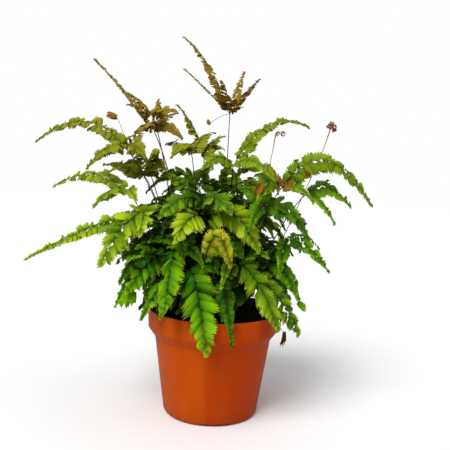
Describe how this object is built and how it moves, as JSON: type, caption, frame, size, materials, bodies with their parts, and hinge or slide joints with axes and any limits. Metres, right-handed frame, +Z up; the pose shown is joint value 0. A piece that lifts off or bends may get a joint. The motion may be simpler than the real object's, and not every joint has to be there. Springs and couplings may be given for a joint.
{
  "type": "potted fern",
  "caption": "Maidenhair-like fern with arching toothed fronds on thin dark stalks, standing in soil in a round tapered nursery pot.",
  "frame": {"origin": "centre of the pot's flat underside, where it stands", "axes": "+Z up along the pot's axis; -Y towards the side that the picture shows, +X to its right"},
  "size_m": [0.3054, 0.2197, 0.3413],
  "materials": {
    "pot_plastic": "satin",
    "compost": "rough, crumbly",
    "stalk": "smooth, wiry, slightly glossy",
    "crozier": "dull, finely haired",
    "leaf_lime": "soft satin",
    "leaf_green": "soft satin",
    "leaf_dark": "soft satin",
    "leaf_gold": "soft satin",
    "leaf_bronze": "soft satin"
  },
  "bodies": {
    "root": {"front_center_stalk": "stalk", "front_bright_stalk": "stalk", "left_bright_stalk": "stalk", "front_left_stalk": "stalk", "front_right_stalk": "stalk", "right_big_stalk": "stalk", "left_arch_stalk": "stalk", "right_arch_stalk": "stalk", "crown_top_stalk": "stalk", "upper_left_stalk": "stalk", "right_mid_stalk": "stalk", "right_front_stalk": "stalk", "front_mid_stalk": "stalk", "center_gold_stalk": "stalk", "left_low_stalk": "stalk", "left_under_stalk": "stalk", "right_low_stalk": "stalk", "right_side_stalk": "stalk", "center_dark_stalk": "stalk", "left_gold_stalk": "stalk", "center_stalk": "stalk", "back_high_1_stalk": "stalk", "back_high_2_stalk": "stalk", "back_mid_1_stalk": "stalk", "back_mid_2_stalk": "stalk", "back_mid_3_stalk": "stalk", "back_low_1_stalk": "stalk", "back_low_2_stalk": "stalk", "crozier_back": "crozier", "crozier_right": "crozier", "front_center_blade": "leaf_green", "front_bright_blade": "leaf_lime", "left_bright_blade": "leaf_lime", "front_left_blade": "leaf_green", "front_right_blade": "leaf_lime", "right_big_blade": "leaf_green", "left_arch_blade": "leaf_gold", "right_arch_blade": "leaf_green", "crown_top_blade": "leaf_bronze", "upper_left_blade": "leaf_bronze", "right_mid_blade": "leaf_green", "right_front_blade": "leaf_dark", "front_mid_blade": "leaf_dark", "center_gold_blade": "leaf_gold", "left_low_blade": "leaf_lime", "left_under_blade": "leaf_green", "right_low_blade": "leaf_green", "right_side_blade": "leaf_green", "center_dark_blade": "leaf_dark", "left_gold_blade": "leaf_gold", "center_blade": "leaf_green", "back_high_1_blade": "leaf_green", "back_high_2_blade": "leaf_green", "back_mid_1_blade": "leaf_lime", "back_mid_2_blade": "leaf_lime", "back_mid_3_blade": "leaf_lime", "back_low_1_blade": "leaf_dark", "back_low_2_blade": "leaf_dark", "pot": "pot_plastic", "soil": "compost"}
  },
  "joints": []
}
